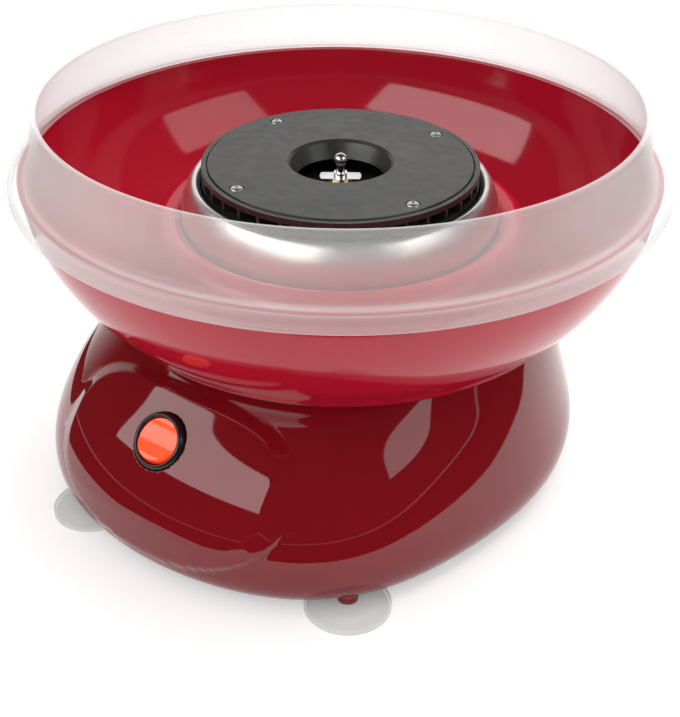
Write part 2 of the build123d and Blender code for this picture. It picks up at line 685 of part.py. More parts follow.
def heater_element():
    """Ring-shaped heating rod with both ends turned down through the carrier."""
    turn = 360 - 2 * HEATER_END_ANGLE
    ring = Torus(HEATER_R, HEATER_ROD_R, major_angle=turn)
    ring = Pos(0, 0, HEATER_Z) * Rot(0, 0, HEATER_END_ANGLE - 90) * ring
    for angle in heater_ends:
        place = Pos(*polar(HEATER_R, angle))
        ring += place * rod(HEATER_ROD_R, CARRIER_Z - HEATER_STUB, HEATER_Z)
        ring += place * Pos(0, 0, HEATER_Z) * Sphere(HEATER_ROD_R)
    return ring


def heater_cradles():
    cradles = []
    for angle in around(3, 180.0):
        height = HEATER_Z - CARRIER_Z - CARRIER_T
        block = Box(CRADLE_W, CRADLE_L, height, align=(Align.CENTER, Align.CENTER, Align.MIN))
        cradle = Rot(0, 0, angle) * Pos(0, -HEATER_R, CARRIER_Z + CARRIER_T) * block
        cradles.append(cradle - Pos(0, 0, HEATER_Z) * Torus(HEATER_R, HEATER_ROD_R))
    return group(cradles)


def thermal_cutout():
    """Round thermostat under the carrier."""
    body = rod(THERMO_R, CARRIER_Z - THERMO_H, CARRIER_Z)
    tab = Box(*THERMO_TAB, align=(Align.CENTER, Align.CENTER, Align.MAX))
    body += Pos(0, 0, CARRIER_Z - THERMO_H) * tab
    return Pos(*polar(THERMO_RADIUS, THERMO_ANGLE)) * body


# ---------------------------------------------------------------- spinning head
def head_cover():
    """Black disc with four counterbored screw holes and the sugar funnel in the middle."""
    low = HEAD_TOP - COVER_T
    inside = SUGAR_R - COVER_T
    disc = turned((inside, low), (COVER_R, low), (COVER_R, HEAD_TOP), (inside, HEAD_TOP))
    rim = disc.edges().filter_by(GeomType.CIRCLE).group_by(SortBy.RADIUS)[-1]
    disc = fillet(rim.sort_by(Axis.Z)[-1], COVER_ROUND)
    funnel = turned(
        (FUNNEL_R, HEAD_TOP - FUNNEL_DEPTH), (FUNNEL_R + FUNNEL_WALL, HEAD_TOP - FUNNEL_DEPTH),
        (SUGAR_R + FUNNEL_WALL, low), (SUGAR_R + FUNNEL_WALL, HEAD_TOP), (SUGAR_R, HEAD_TOP),
        (SUGAR_R - FUNNEL_LIP, HEAD_TOP - FUNNEL_LIP),
    )
    mouth = turned((0, low - 1), (SUGAR_R, low - 1), (SUGAR_R, HEAD_TOP + 1), (0, HEAD_TOP + 1))
    cover = (disc - mouth) + funnel
    for angle in around(4, HEAD_SCREW_ANGLE):
        place = Pos(*polar(HEAD_SCREW_R, angle))
        cover -= place * rod(SCREW_R + SLIP, low - 1, HEAD_TOP + 1)
        cover -= place * rod(SCREW_HEAD_R + SLIP, HEAD_TOP - HEAD_SCREW_SINK, HEAD_TOP + 1)
    return cover


def head_basket():
    """Ring with sugar windows: floor, closed band, shelf, upright fins between the windows, upper rim."""
    rim_top = HEAD_TOP - RIM_DROP
    rim_low = rim_top - RIM_H
    low = PAN_TOP
    ledge_top = HEAD_TOP - COVER_T
    basket = turned(
        (BASKET_IN, low), (HEAD_R, low), (HEAD_R, SHELF_TOP), (FIN_IN, SHELF_TOP), (FIN_IN, SHELF_TOP - SHELF_T),
        (HEAD_R - BAND_WALL, SHELF_TOP - SHELF_T), (HEAD_R - BAND_WALL, low + FLOOR_H), (BASKET_IN, low + FLOOR_H),
    )
    basket += turned(
        (COVER_R - LEDGE_W, rim_low), (HEAD_R, rim_low), (HEAD_R, rim_top), (COVER_R + GROOVE, rim_top),
        (COVER_R + GROOVE, ledge_top), (COVER_R - LEDGE_W, ledge_top),
    )
    for angle in around(4, HEAD_SCREW_ANGLE):
        basket += Pos(*polar(HEAD_SCREW_R, angle)) * rod(HEAD_POST_R, low, ledge_top)
    length = HEAD_R - FIN_IN - 2 * FIN_INSET
    fin = Box(FIN_T, length, rim_low - SHELF_TOP + 2 * FIN_BITE, align=(Align.CENTER, Align.MAX, Align.MIN))
    fin = Pos(0, -FIN_IN - FIN_INSET, SHELF_TOP - FIN_BITE) * fin
    basket += [Rot(0, 0, angle) * fin for angle in around(FIN_COUNT, FIN_FIRST)]
    for angle in around(4, HEAD_SCREW_ANGLE):
        basket -= Pos(*polar(HEAD_SCREW_R, angle)) * rod(SCREW_R, low - 1, HEAD_TOP)
    return basket


def head_pan():
    """Coated pan under the basket, in which the sugar melts."""
    pan = rod(PAN_R, PAN_TOP - PAN_T, PAN_TOP)
    pan -= rod(HUB_R, PAN_TOP - 2 * PAN_T, PAN_TOP + 1)
    for angle in around(4, HEAD_SCREW_ANGLE):
        pan -= Pos(*polar(HEAD_SCREW_R, angle)) * rod(SCREW_R, PAN_TOP - 2 * PAN_T, PAN_TOP + 1)
    return pan


def head_hub():
    """Brass bush on the spindle, slotted from below for the drive pin."""
    low = PAN_TOP - PAN_T - HUB_TAIL
    hub = rod(HUB_R, low, HUB_TOP) + rod(HUB_R + HUB_FLANGE, PAN_TOP, PAN_TOP + HUB_FLANGE_T)
    hub -= rod(SHAFT_R + RUN_FIT, low - 1, HUB_TOP + 1)
    slot = Box(4 * HUB_R, 2 * (PIN_R + RUN_FIT), PIN_Z + PIN_R + RUN_FIT - low + 1)
    return hub - Pos(0, 0, (PIN_Z + PIN_R + RUN_FIT + low - 1) / 2) * slot


def head_clip():
    """Steel spring washer on the hub, with two ears that show in the sugar hole."""
    washer = tube(CLIP_R, SHAFT_R + RUN_FIT, HUB_TOP, HUB_TOP + CLIP_T)
    waist = Box(3 * CLIP_R, 2 * CLIP_WAIST, 4 * CLIP_T)
    core = rod(CLIP_CORE_R, HUB_TOP, HUB_TOP + CLIP_T)
    cut = rod(SHAFT_R + RUN_FIT, HUB_TOP - 1, HUB_TOP + 2 * CLIP_T)
    return (washer & Pos(0, 0, HUB_TOP) * waist) + (core - cut)


def head_screws():
    screws = []
    for angle in around(4, HEAD_SCREW_ANGLE):
        seat = HEAD_TOP - HEAD_SCREW_SINK
        screws.append(screw(polar(HEAD_SCREW_R, angle, seat), seat - PAN_TOP + PAN_T))
    return group(screws)


# ---------------------------------------------------------------- bowl and guard
def bowl():
    """Round pan with a rounded outer wall and a ridge round its centre hole."""
    middle = [(HUMP_R + out, DECK_Z + HUMP_RISE + up) for out, up in BOWL_RIDGE]
    middle += [(BOWL_FOOT_R + out, DECK_Z + up) for out, up in BOWL_SIDE]
    middle.append((BOWL_RIM_R, RIM_Z))
    return spun_sheet(BOWL_WALL, middle)


def guard():
    """Clear ring on the bowl's rim: a tapered wall, a rounded shoulder and a short skirt."""
    half = GUARD_WALL / 2
    shelf = RIM_Z + SHOULDER_RISE
    top_r = GUARD_TOP_R - half
    skirt_r = GUARD_R - half
    middle = [(top_r, GUARD_TOP), (top_r + 1.9, GUARD_TOP - 12), (top_r + 4.3, shelf + 3.2)]
    middle += [(top_r + 6.3, shelf + 0.5), (skirt_r - 4.6, shelf), (skirt_r - 1.1, shelf - 0.9)]
    middle += [(skirt_r, shelf - 3.4), (skirt_r, RIM_Z - GUARD_SKIRT)]
    return spun_sheet(GUARD_WALL, middle)


# ---------------------------------------------------------------- electrics
def circuit_board():
    board = Box(BOARD_W, BOARD_D, BOARD_T, align=(Align.CENTER, Align.CENTER, Align.MIN))
    board = Pos(BOARD_X, BOARD_Y, BOARD_Z) * board
    for x, y in board_corners:
        board -= Pos(x, y, 0) * rod(SCREW_R, BOARD_Z - 1, BOARD_Z + BOARD_T + 1)
    return board


def board_diodes():
    diodes = []
    for i in range(4):
        body = Cylinder(DIODE_R, DIODE_L, rotation=(0, 90, 0))
        place = (BOARD_X + DIODE_SPOT[0], BOARD_Y + DIODE_SPOT[1] + DIODE_PITCH * i, board_top + DIODE_R)
        diodes.append(Pos(*place) * body)
    return group(diodes)


def board_capacitor():
    can = fillet(rod(CAP_R, 0, CAP_H).edges().group_by(Axis.Z)[-1], CAP_ROUND)
    return Pos(BOARD_X + CAP_SPOT[0], BOARD_Y + CAP_SPOT[1], board_top) * can


def terminal_block():
    block = Box(BLOCK_W, BLOCK_L, BLOCK_H, align=(Align.CENTER, Align.CENTER, Align.MIN))
    for way_y in (-BLOCK_WAY, BLOCK_WAY):
        block -= Pos(0, way_y, 0) * rod(SCREW_R, BLOCK_SCREW_Z, BLOCK_H + 1)
        block -= Pos(BLOCK_W / 2, way_y, BLOCK_WAY_Z) * Rot(0, 90, 0) * Cylinder(LEAD_R, BLOCK_W)
    return Pos(BOARD_X + BLOCK_SPOT[0], BOARD_Y + BLOCK_SPOT[1], board_top) * block


def board_screws():
    return group(screw((x, y, BOARD_Z + BOARD_T), BOARD_Z - PLATE_TOP) for x, y in board_corners)


def gland_body():
    """Grommet in the back wall for the mains lead: flange outside, threaded barrel inside."""
    length = GLAND_SEAT_L + GLAND_NUT_T
    body = rod(GLAND_BARREL_R, -length, 0) + rod(GLAND_FLANGE_R, 0, GLAND_FLANGE_T)
    body = fillet(body.edges().filter_by(GeomType.CIRCLE).sort_by(Axis.Z)[-1], 0.8)
    body -= rod(GLAND_BORE_R, -length - 1, GLAND_FLANGE_T + 1)
    return Pos(0, BACK_R + GLAND_SEAT, GLAND_Z) * Rot(-90, 0, 0) * body


def gland_nut():
    nut = extrude(RegularPolygon(GLAND_NUT_R, 6), GLAND_NUT_T)
    nut -= rod(GLAND_BARREL_R, -1, GLAND_NUT_T + 1)
    return Pos(0, BACK_R + GLAND_SEAT - GLAND_SEAT_L - GLAND_NUT_T, GLAND_Z) * Rot(-90, 0, 0) * nut


def lead(radius, *points):
    """Wire along straight runs joined by arcs as large as the runs allow."""
    places = [Vector(*point) for point in points]
    radii = []
    for i in range(1, len(places) - 1):
        before = places[i] - places[i - 1]
        after = places[i + 1] - places[i]
        turn = math.radians(before.get_angle(after))
        radii.append(0.45 * min(before.length, after.length) / math.tan(turn / 2))
    path = FilletPolyline(*places, radius=radii)
    start = Plane(origin=path @ 0, z_dir=path % 0)
    return sweep(start * Circle(radius), path)


# Routes of the leads inside the base, each from end to end, as laid by hand.
switch_end = -BARREL_L - BLADE_L
block_x = BOARD_X + BLOCK_SPOT[0] + BLOCK_W / 2
block_y = BOARD_Y + BLOCK_SPOT[1]
block_z = board_top + BLOCK_WAY_Z
cap_low = MOTOR_BOTTOM - CAP_T
stub_low = CARRIER_Z - HEATER_STUB
stub_x, stub_y, _ = polar(HEATER_R, HEATER_END_ANGLE)
switch_routes = [
    (-BLADE_PITCH, [(-30, -60, 30), (-48, -8, 24), (-42, block_y - BLOCK_WAY, block_z)], -BLOCK_WAY),
    (BLADE_PITCH, [(-22, -56, 31), (-41, -8, 25), (-38, block_y + BLOCK_WAY, block_z)], BLOCK_WAY),
]
motor_routes = [
    [(-46, 44, board_top), (-46, 44, 32), (-36, 29, 31), (-27, 17, 23), (-14, 6, 17.5), (-14, 6, cap_low)],
    [(-46, 38, board_top), (-46, 38, 33), (-40, 22, 32), (-30, 8, 26), (-14, -6, 17.5), (-14, -6, cap_low)],
]
heater_routes = [
    [
        (-52, 46, board_top), (-52, 46, 36), (-48, 30, 54), (-44, 26, 66), (-44, 26, 75.5),
        (-20, 10, 75.5), (-20, 8, 88), (-14, -20, 90), (-stub_x, stub_y, 88), (-stub_x, stub_y, stub_low),
    ],
    [
        (-52, 39.5, board_top), (-52, 39.5, 32), (-42, 34, 52), (-38, 33, 66), (-38, 33, 75.5),
        (-16, 17, 75.5), (-16, 17, 87), (4, 16, 88), (16, -8, 90), (stub_x, stub_y, 88),
        (stub_x, stub_y, stub_low),
    ],
]


def switch_leads():
    leads = []
    for blade_x, corners, way_y in switch_routes:
        start = seat_plane.from_local_coords((blade_x, 0, switch_end))
        bend = seat_plane.from_local_coords((blade_x, 0, switch_end - 11))
        leads.append(lead(LEAD_R, start, bend, *corners, (block_x, block_y + way_y, block_z)))
    return group(leads)


# ---------------------------------------------------------------- nodes
keep("base_housing", base_housing())
keep("base_plate", base_plate())
plate_low = BASE_BOTTOM + PLATE_LIFT
keep("base_screws", group(screw(polar(r, a, plate_low), PLATE_SCREW_L, down=False) for r, a in post_places))
foot_names = ("front_left", "front_right", "rear_left", "rear_right")
for foot_name, (radius, angle) in zip(foot_names, foot_places):
    keep("foot_" + foot_name, Pos(*polar(radius, angle)) * suction_foot())
keep("switch_bezel", switch_bezel())
keep("switch_terminals", switch_terminals())
keep("motor_can", motor_can())
keep("motor_magnets", motor_magnets())
keep("motor_end_cap", motor_end_cap())
keep("motor_brushes", motor_brushes())
keep("bearing_lower", bearing(MOTOR_BOTTOM - CAP_T - CAP_BOSS_H, MOTOR_BOTTOM + CAP_SPIGOT / 2))
keep("bearing_upper", bearing(MOTOR_TOP - CAN_WALL, MOTOR_TOP + NOSE_BOSS_H))
keep("motor_bracket", motor_bracket())
keep("bracket_grommets", bracket_grommets())
grommet_low = MOTOR_TOP - GROMMET_LIP
hanger_screw_l = HANGER_Z - grommet_low + HANGER_SCREW_L
hanger_spots = [polar(BRACKET_BOLT_R, a, grommet_low) for a in hanger_angles]
keep("bracket_screws", group(screw(spot, hanger_screw_l, down=False) for spot in hanger_spots))
bolt_spots = [(x, 0, MOTOR_TOP + BRACKET_T) for x in (-MOTOR_BOLT_R, MOTOR_BOLT_R)]
keep("motor_screws", group(screw(spot, BRACKET_T + CAN_WALL) for spot in bolt_spots))
keep("reflector_ring", reflector_ring())
ring_spots = [polar(RING_SCREW_RADIUS, a, DECK_Z + RING_T) for a in ring_screw_angles]
keep("reflector_screws", group(screw(spot, RING_T + BASE_WALL) for spot in ring_spots))
keep("heater_posts", heater_posts())
keep("heater_carrier", heater_carrier())
keep("heater_element", heater_element())
keep("heater_cradles", heater_cradles())
post_spots = [polar(POST_RADIUS, a, CARRIER_Z + CARRIER_T) for a in around(3)]
post_screw_l = CARRIER_Z + CARRIER_T - DECK_Z + BASE_WALL
keep("heater_screws", group(screw(spot, post_screw_l) for spot in post_spots))
keep("thermal_cutout", thermal_cutout())
keep("circuit_board", circuit_board())
keep("board_diodes", board_diodes())
keep("board_capacitor", board_capacitor())
keep("terminal_block", terminal_block())
keep("board_screws", board_screws())
keep("switch_leads", switch_leads())
keep("motor_leads", group(lead(LEAD_R, *route) for route in motor_routes))
keep("heater_leads", group(lead(LEAD_R, *route) for route in heater_routes))
keep("gland_body", gland_body())
keep("gland_nut", gland_nut())
keep("armature_core", armature_core())
keep("armature_windings", armature_windings())
keep("commutator", commutator())
keep("spindle", motor_shaft())
keep("drive_pin", drive_pin())
keep("head_cover", head_cover())
keep("head_basket", head_basket())
keep("head_pan", head_pan())
keep("head_hub", head_hub())
keep("head_clip", Rot(0, 0, CLIP_ANGLE) * head_clip())
keep("head_screws", head_screws())
keep("bowl", bowl())
keep("splash_guard", guard())
keep("switch_rocker", switch_rocker())

for node, shape in PARTS.items():
    export_step(shape, "parts/" + node + ".step")
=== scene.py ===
"""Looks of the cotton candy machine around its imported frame. Metres, +Z up, -Y is the front with the switch."""

import json
import math
import bmesh
import bpy
import numpy as np
from mathutils import Matrix, Vector


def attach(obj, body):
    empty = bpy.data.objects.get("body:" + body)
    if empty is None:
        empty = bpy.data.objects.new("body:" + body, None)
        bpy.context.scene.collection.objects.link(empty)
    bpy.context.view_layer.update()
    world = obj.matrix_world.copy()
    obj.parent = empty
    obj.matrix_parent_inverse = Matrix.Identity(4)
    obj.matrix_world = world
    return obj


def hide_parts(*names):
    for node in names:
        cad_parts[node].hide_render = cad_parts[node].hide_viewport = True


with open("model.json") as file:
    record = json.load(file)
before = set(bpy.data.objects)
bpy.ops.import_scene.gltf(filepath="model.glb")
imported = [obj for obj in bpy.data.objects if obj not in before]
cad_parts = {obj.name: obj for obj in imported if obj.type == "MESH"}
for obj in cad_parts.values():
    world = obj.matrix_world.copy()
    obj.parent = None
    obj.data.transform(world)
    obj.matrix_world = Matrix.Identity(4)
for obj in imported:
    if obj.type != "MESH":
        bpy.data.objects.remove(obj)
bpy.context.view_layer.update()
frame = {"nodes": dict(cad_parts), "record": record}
nodes = frame["nodes"]
MM = 0.001


# ---------------------------------------------------------------- shader helpers
class Shader:
    """A material's node tree, with short calls for adding nodes and setting sockets."""

    def __init__(self, name):
        self.material = bpy.data.materials.new(name)
        self.material.use_nodes = True
        self.tree = self.material.node_tree
        self.bsdf = self.tree.nodes["Principled BSDF"]
        self.coords = None

    def put(self, kind, **values):
        node = self.tree.nodes.new(kind)
        for key, value in values.items():
            if hasattr(node, key) and key not in node.inputs:
                setattr(node, key, value)
            else:
                node.inputs[key].default_value = value
        return node

    def join(self, source, target):
        self.tree.links.new(source, target)

    def set(self, **values):
        for key, value in values.items():
            self.bsdf.inputs[key.replace("_", " ")].default_value = value

    def place(self):
        if self.coords is None:
            self.coords = self.put("ShaderNodeTexCoord").outputs["Object"]
        return self.coords

    def noise(self, scale, detail=2.0, stretch=None):
        node = self.put("ShaderNodeTexNoise", Scale=scale, Detail=detail)
        source = self.place()
        if stretch:
            mapping = self.put("ShaderNodeMapping", Scale=stretch)
            self.join(source, mapping.inputs["Vector"])
            source = mapping.outputs["Vector"]
        self.join(source, node.inputs["Vector"])
        return node.outputs["Fac"]

    def ramp(self, source, stops):
        node = self.put("ShaderNodeValToRGB")
        points = node.color_ramp.elements
        while len(points) < len(stops):
            points.new(0.5)
        for point, (place, colour) in zip(points, stops):
            point.position = place
            point.color = colour if len(colour) == 4 else (*colour, 1.0)
        self.join(source, node.inputs["Fac"])
        return node.outputs["Color"]

    def levels(self, source, low, high, start=0.3, end=0.7):
        node = self.put("ShaderNodeMapRange")
        node.inputs["From Min"].default_value = start
        node.inputs["From Max"].default_value = end
        node.inputs["To Min"].default_value = low
        node.inputs["To Max"].default_value = high
        self.join(source, node.inputs["Value"])
        return node.outputs["Result"]

    def bump(self, source, height, strength=1.0):
        node = self.put("ShaderNodeBump", Distance=height, Strength=strength)
        self.join(source, node.inputs["Height"])
        self.join(node.outputs["Normal"], self.bsdf.inputs["Normal"])
        return node

    def link(self, source, socket):
        self.join(source, self.bsdf.inputs[socket])


def moulded(name, colour, rough=(0.06, 0.1), peel=0.00004, spread=0.06, **more):
    """Moulded plastic or paint: slow colour drift, fine waviness and a little dust in its gloss."""
    mat = Shader(name)
    dark = [c * (1 - spread) for c in colour]
    light = [min(1.0, c * (1 + spread)) for c in colour]
    mat.link(mat.ramp(mat.noise(14.0), [(0.3, dark), (0.7, light)]), "Base Color")
    mat.link(mat.levels(mat.noise(260.0, 6.0), rough[0], rough[1]), "Roughness")
    mat.bump(mat.noise(120.0, 3.0), peel)
    mat.set(**more)
    return mat


def metal(name, colour, rough=(0.12, 0.2), lines=None, peel=0.00003):
    """Bare metal with fine drawn or turned lines."""
    mat = Shader(name)
    grain = mat.noise(900.0, 4.0, lines or (1, 1, 1))
    shade = [c * 0.86 for c in colour]
    mat.link(mat.ramp(grain, [(0.25, shade), (0.75, colour)]), "Base Color")
    mat.link(mat.levels(mat.noise(300.0, 5.0, lines), rough[0], rough[1]), "Roughness")
    mat.bump(grain, peel, 0.5)
    mat.set(Metallic=1.0)
    return mat


# ---------------------------------------------------------------- materials
materials = {}
BASE_RED = (0.205, 0.0045, 0.0085)
BOWL_RED = (0.44, 0.0075, 0.024)
materials["base_red"] = moulded("base_red", BASE_RED, (0.03, 0.05), 0.000002, 0.05, IOR=1.52, Specular_IOR_Level=0.5)
materials["bowl_red"] = moulded("bowl_red", BOWL_RED, (0.06, 0.1), 0.000003, 0.05, IOR=1.5)
materials["underside_black"] = moulded("underside_black", (0.02, 0.019, 0.019), (0.4, 0.55), 0.0002)
materials["bezel_black"] = moulded("bezel_black", (0.012, 0.011, 0.011), (0.16, 0.26), 0.00005)
materials["moulded_black"] = moulded("moulded_black", (0.02, 0.02, 0.02), (0.35, 0.5), 0.0001)
materials["grommet_rubber"] = moulded("grommet_rubber", (0.02, 0.02, 0.021), (0.6, 0.75), 0.0001)
materials["carbon"] = moulded("carbon", (0.03, 0.03, 0.03), (0.5, 0.65), 0.0001)
materials["magnet_grey"] = moulded("magnet_grey", (0.06, 0.06, 0.062), (0.5, 0.65), 0.0001)
materials["lead_insulation"] = moulded("lead_insulation", (0.09, 0.09, 0.1), (0.4, 0.5), 0.00005)
materials["heater_ceramic"] = moulded("heater_ceramic", (0.72, 0.68, 0.6), (0.6, 0.8), 0.0002)
materials["block_white"] = moulded("block_white", (0.75, 0.75, 0.72), (0.35, 0.5), 0.0001)
materials["pan_black"] = moulded("pan_black", (0.022, 0.021, 0.02), (0.3, 0.45), 0.0001)
materials["screw_steel"] = metal("screw_steel", (0.82, 0.81, 0.79), (0.3, 0.42))
materials["contact_brass"] = metal("contact_brass", (0.72, 0.52, 0.25), (0.18, 0.3))
materials["motor_steel"] = metal("motor_steel", (0.56, 0.57, 0.58), (0.25, 0.4))
materials["bearing_bronze"] = metal("bearing_bronze", (0.55, 0.38, 0.2), (0.3, 0.45))
materials["post_steel"] = metal("post_steel", (0.5, 0.5, 0.49), (0.25, 0.4))
materials["heater_rod"] = metal("heater_rod", (0.33, 0.3, 0.27), (0.35, 0.5))
materials["core_steel"] = metal("core_steel", (0.32, 0.32, 0.33), (0.35, 0.5), (0.02, 0.02, 30))
materials["winding_copper"] = metal("winding_copper", (0.75, 0.32, 0.14), (0.2, 0.35))
materials["spindle_chrome"] = metal("spindle_chrome", (0.9, 0.89, 0.87), (0.16, 0.24))


def ring_metal():
    """Spun aluminium: fine turned rings, polished."""
    mat = Shader("ring_aluminium")
    split = mat.put("ShaderNodeSeparateXYZ")
    mat.join(mat.place(), split.inputs["Vector"])
    stack = mat.put("ShaderNodeTexNoise", noise_dimensions="1D", Scale=1.0, Detail=4.0)
    scaled = mat.put("ShaderNodeMath", operation="MULTIPLY")
    scaled.inputs[1].default_value = 2600.0
    mat.join(split.outputs["Z"], scaled.inputs[0])
    mat.join(scaled.outputs["Value"], stack.inputs["W"])
    mat.link(mat.ramp(stack.outputs["Fac"], [(0.3, (0.8, 0.785, 0.75)), (0.7, (0.88, 0.865, 0.83))]), "Base Color")
    mat.link(mat.levels(mat.noise(160.0, 4.0), 0.28, 0.36), "Roughness")
    mat.bump(stack.outputs["Fac"], 0.00002, 0.5)
    mat.set(Metallic=1.0)
    return mat


def head_black():
    """Satin black with a faint grain and scuffs that lighten it."""
    mat = Shader("head_black")
    scuff = mat.ramp(mat.noise(55.0, 8.0), [(0.35, (0.018, 0.0175, 0.016)), (0.75, (0.032, 0.031, 0.028))])
    mat.link(scuff, "Base Color")
    mat.link(mat.levels(mat.noise(180.0, 6.0), 0.3, 0.42), "Roughness")
    mat.bump(mat.noise(1400.0, 4.0), 0.00005, 0.6)
    mat.set(IOR=1.5, Specular_IOR_Level=0.6)
    return mat


def guard_clear():
    """Frosted translucent plastic: a milky film that lets most light straight through."""
    mat = Shader("guard_clear")
    mat.link(mat.ramp(mat.noise(9.0), [(0.3, (0.86, 0.84, 0.84)), (0.7, (0.93, 0.92, 0.92))]), "Base Color")
    mat.link(mat.levels(mat.noise(60.0, 3.0), 0.28, 0.34), "Roughness")
    mat.bump(mat.noise(160.0, 2.0), 0.000006, 0.5)
    facing = mat.put("ShaderNodeLayerWeight", Blend=0.35)
    mat.link(mat.levels(facing.outputs["Facing"], 0.2, 0.62, 0.0, 0.9), "Alpha")
    mat.set(IOR=1.49)
    return mat


def foot_clear():
    """Clear soft plastic of the suction cups, denser towards its edges."""
    mat = Shader("foot_clear")
    mat.link(mat.ramp(mat.noise(40.0), [(0.3, (0.5, 0.52, 0.51)), (0.7, (0.57, 0.59, 0.58))]), "Base Color")
    mat.link(mat.levels(mat.noise(200.0, 4.0), 0.06, 0.12), "Roughness")
    mat.bump(mat.noise(90.0, 2.0), 0.0001, 0.5)
    facing = mat.put("ShaderNodeLayerWeight", Blend=0.3)
    mat.link(mat.levels(facing.outputs["Facing"], 0.14, 0.85, 0.0, 0.9), "Alpha")
    mat.set(IOR=1.46)
    return mat


def rocker_red():
    """Lit translucent lens: brightest in its middle, deep red at its edges."""
    mat = Shader("rocker_red")
    mat.link(mat.ramp(mat.noise(300.0), [(0.3, (0.75, 0.03, 0.012)), (0.7, (0.86, 0.07, 0.02))]), "Base Color")
    facing = mat.put("ShaderNodeLayerWeight", Blend=0.5)
    glow = mat.ramp(facing.outputs["Facing"], [(0.1, (1.0, 0.16, 0.05)), (0.6, (0.7, 0.01, 0.005))])
    mat.link(glow, "Emission Color")
    mat.link(mat.levels(mat.noise(500.0, 4.0), 0.08, 0.16), "Roughness")
    mat.bump(mat.noise(300.0, 3.0), 0.00004)
    mat.set(Emission_Strength=0.68, IOR=1.49)
    return mat


def board_green():
    mat = Shader("board_green")
    tracks = mat.ramp(mat.noise(220.0, 1.0, (1, 0.25, 1)), [(0.5, (0.02, 0.13, 0.04)), (0.54, (0.05, 0.24, 0.08))])
    mat.link(tracks, "Base Color")
    mat.link(mat.levels(mat.noise(300.0, 4.0), 0.3, 0.45), "Roughness")
    mat.bump(mat.noise(220.0, 1.0, (1, 0.25, 1)), 0.00005)
    return mat


materials["ring_aluminium"] = ring_metal()
materials["head_black"] = head_black()
materials["guard_clear"] = guard_clear()
materials["foot_clear"] = foot_clear()
materials["rocker_red"] = rocker_red()
materials["board_green"] = board_green()


def dress(obj, slot):
    obj.data.materials.clear()
    obj.data.materials.append(materials[slot].material)


for entry in frame["record"]["subparts"]:
    dress(nodes[entry["node"]], entry["material_slot"])

# ---------------------------------------------------------------- mesh helpers


def add_mesh(name, verts, faces, slot, body, replaced=()):
    """New piece from vertices in millimetres."""
    mesh = bpy.data.meshes.new(name)
    mesh.from_pydata([tuple(c * MM for c in v) for v in verts], [], faces)
    mesh.update()
    obj = bpy.data.objects.new(name, mesh)
    bpy.context.scene.collection.objects.link(obj)
    work = bmesh.new()
    work.from_mesh(mesh)
    bmesh.ops.remove_doubles(work, verts=work.verts, dist=0.000001)
    bmesh.ops.recalc_face_normals(work, faces=work.faces)
    work.to_mesh(mesh)
    work.free()
    for face in mesh.polygons:
        face.use_smooth = True
    dress(obj, slot)
    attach(obj, body)
    if replaced:
        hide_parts(*replaced)
    return obj


def cubic(knots, values, where):
    """Natural cubic spline through the values at the knots."""
    knots = np.asarray(knots, float)
    values = np.asarray(values, float)
    n = len(knots)
    step = np.diff(knots)
    slope = np.diff(values) / step
    system = np.eye(n)
    right = np.zeros(n)
    for i in range(1, n - 1):
        system[i, i - 1] = step[i - 1]
        system[i, i] = 2 * (step[i - 1] + step[i])
        system[i, i + 1] = step[i]
        right[i] = 6 * (slope[i] - slope[i - 1])
    curve = np.linalg.solve(system, right)
    where = np.asarray(where, float)
    i = np.clip(np.searchsorted(knots, where) - 1, 0, n - 2)
    h = step[i]
    a = (knots[i + 1] - where) / h
    b = (where - knots[i]) / h
    bend = ((a ** 3 - a) * curve[i] + (b ** 3 - b) * curve[i + 1]) * h * h / 6
    return a * values[i] + b * values[i + 1] + bend


def smooth_line(points, count):
    """Smooth line through (radius, height) points, with about evenly spaced samples."""
    points = np.asarray(points, float)
    knots = np.concatenate([[0], np.cumsum(np.hypot(*np.diff(points, axis=0).T))])
    where = np.linspace(0, knots[-1], count)
    return np.stack([cubic(knots, points[:, 0], where), cubic(knots, points[:, 1], where)], 1)


LIP_REACH = 1.6


def sheet_outline(points, wall, count, lip=None):
    """Closed outline of a sheet round a smooth middle line, its ends rounded; a lip thickens its start."""
    line = smooth_line(points, count)
    way = np.gradient(line, axis=0)
    way /= np.linalg.norm(way, axis=1)[:, None]
    across = np.stack([way[:, 1], -way[:, 0]], 1) * wall / 2
    if lip:
        along = np.concatenate([[0], np.cumsum(np.hypot(*np.diff(line, axis=0).T))])
        across *= (1 + lip * np.exp(-((along / LIP_REACH) ** 4)))[:, None]
    one = line + across
    other = (line - across)[::-1]

    def cap(centre, start, forward):
        turned = []
        for step in range(1, 6):
            angle = math.pi * step / 6
            turned.append(centre + start * math.cos(angle) + forward * math.sin(angle) * wall / 2 * 0.98)
        return turned

    ends = cap(line[-1], across[-1], way[-1] * 0.9)
    starts = cap(line[0], -across[0], -way[0] * 0.9)
    return list(one) + ends + list(other) + starts


def lathe(name, outline, slot, body, replaced=(), segments=240):
    """Turned piece from a closed outline of (radius, height) points."""
    verts = []
    faces = []
    rows = len(outline)
    for k in range(segments):
        turn = 2 * math.pi * k / segments
        c, s = math.cos(turn), math.sin(turn)
        verts += [(r * c, r * s, z) for r, z in outline]
    for k in range(segments):
        here = k * rows
        there = ((k + 1) % segments) * rows
        for i in range(rows):
            j = (i + 1) % rows
            faces.append((here + i, there + i, there + j, here + j))
    return add_mesh(name, verts, faces, slot, body, replaced)


